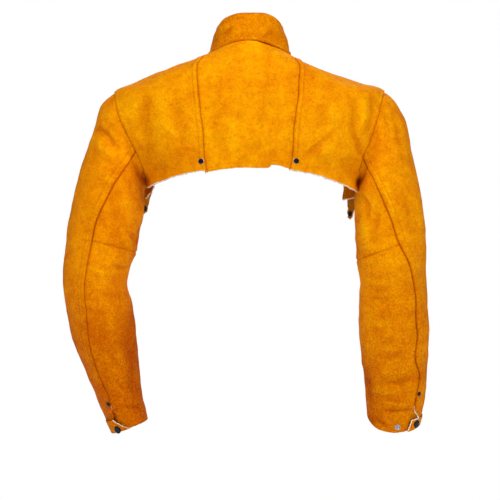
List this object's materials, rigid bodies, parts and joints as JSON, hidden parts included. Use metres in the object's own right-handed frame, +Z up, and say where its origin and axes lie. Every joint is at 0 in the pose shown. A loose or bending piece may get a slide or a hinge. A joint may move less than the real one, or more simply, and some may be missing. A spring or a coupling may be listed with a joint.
{
  "type": "leather welding jacket",
  "caption": "Cropped leather welding jacket with a stand-up collar and long curved sleeves; the sleeves, elbows, front flap and snap tabs move.",
  "frame": {"origin": "middle of the neck opening, level with the neck seam at the sides of the neck", "axes": "+Z up along the wearer's spine, +Y the way the wearer faces, +X the wearer's right"},
  "size_m": [0.6863, 0.2683, 0.7893],
  "materials": {
    "leather": "matt suede",
    "lining_leather": "matt suede",
    "dark_metal": "blackened, satin",
    "bright_metal": "nickel plated"
  },
  "bodies": {
    "torso": {"back_centre_panel": "leather", "back_side_panel_left": "leather", "back_side_panel_right": "leather", "front_panel_left": "leather", "front_panel_right": "leather", "front_facing_right": "lining_leather", "collar_outer": "leather", "collar_lining": "lining_leather", "collar_snap_stud": "bright_metal", "collar_snap_post": "bright_metal", "front_snap_studs": "bright_metal", "front_snap_posts": "bright_metal", "back_rivets": "dark_metal", "back_rivet_burrs": "bright_metal"},
    "front_flap": {"front_flap": "leather", "front_snap_caps": "dark_metal", "front_snap_sockets": "bright_metal"},
    "collar_tab": {"collar_tab": "leather", "collar_snap_cap": "dark_metal", "collar_snap_socket": "bright_metal"},
    "bib_tab_left": {"bib_tab_left": "leather", "bib_stud_left": "dark_metal", "bib_post_left": "dark_metal"},
    "upper_sleeve_left": {"top_sleeve_upper_left": "leather", "under_sleeve_upper_left": "leather"},
    "forearm_left": {"top_sleeve_lower_left": "leather", "under_sleeve_lower_left": "leather", "cuff_snap_stud_left": "bright_metal", "cuff_snap_post_left": "bright_metal", "cuff_rivet_left": "dark_metal", "cuff_rivet_burr_left": "bright_metal"},
    "cuff_tab_left": {"cuff_tab_left": "leather", "cuff_snap_cap_left": "dark_metal", "cuff_snap_socket_left": "bright_metal"},
    "bib_tab_right": {"bib_tab_right": "leather", "bib_stud_right": "dark_metal", "bib_post_right": "dark_metal"},
    "upper_sleeve_right": {"top_sleeve_upper_right": "leather", "under_sleeve_upper_right": "leather"},
    "forearm_right": {"top_sleeve_lower_right": "leather", "under_sleeve_lower_right": "leather", "cuff_snap_stud_right": "bright_metal", "cuff_snap_post_right": "bright_metal", "cuff_rivet_right": "dark_metal", "cuff_rivet_burr_right": "bright_metal"},
    "cuff_tab_right": {"cuff_tab_right": "leather", "cuff_snap_cap_right": "dark_metal", "cuff_snap_socket_right": "bright_metal"}
  },
  "joints": [
    {"name": "shoulder_left", "type": "hinge", "parent": "torso", "child": "upper_sleeve_left", "pos_m": [-0.254, -0.002, -0.0705], "axis": [0, 1, 0], "range_deg": [0, 50]},
    {"name": "shoulder_right", "type": "hinge", "parent": "torso", "child": "upper_sleeve_right", "pos_m": [0.254, -0.002, -0.0685], "axis": [0, -1, 0], "range_deg": [0, 50]},
    {"name": "elbow_left", "type": "hinge", "parent": "upper_sleeve_left", "child": "forearm_left", "pos_m": [-0.2785, 0.0636, -0.3545], "axis": [0.9688, 0, -0.2478], "range_deg": [0, 75]},
    {"name": "elbow_right", "type": "hinge", "parent": "upper_sleeve_right", "child": "forearm_right", "pos_m": [0.2665, 0.0636, -0.362], "axis": [0.9354, 0, 0.3535], "range_deg": [0, 75]},
    {"name": "front_flap_hinge", "type": "hinge", "parent": "torso", "child": "front_flap", "pos_m": [-0.03, 0.09751, -0.11928], "axis": [0, -0.4086, 0.9127], "range_deg": [0, 110]},
    {"name": "collar_tab_hinge", "type": "hinge", "parent": "torso", "child": "collar_tab", "pos_m": [-0.02639, 0.05521, -0.00942], "axis": [0.142, -0.2501, 0.9577], "range_deg": [0, 100]},
    {"name": "bib_tab_hinge_left", "type": "hinge", "parent": "torso", "child": "bib_tab_left", "pos_m": [-0.193, 0.048, -0.252], "axis": [-0.6097, -0.788, 0.0857], "range_deg": [-8, 60]},
    {"name": "bib_tab_hinge_right", "type": "hinge", "parent": "torso", "child": "bib_tab_right", "pos_m": [0.195, 0.056, -0.262], "axis": [-0.6655, 0.7431, 0.0699], "range_deg": [-8, 60]},
    {"name": "cuff_tab_hinge_left", "type": "hinge", "parent": "forearm_left", "child": "cuff_tab_left", "pos_m": [-0.2684, 0.02916, -0.70134], "axis": [0.4249, 0.1129, -0.8982], "range_deg": [0, 100]},
    {"name": "cuff_tab_hinge_right", "type": "hinge", "parent": "forearm_right", "child": "cuff_tab_right", "pos_m": [0.32894, 0.0333, -0.67815], "axis": [0.2907, -0.1662, 0.9423], "range_deg": [0, 100]}
  ]
}
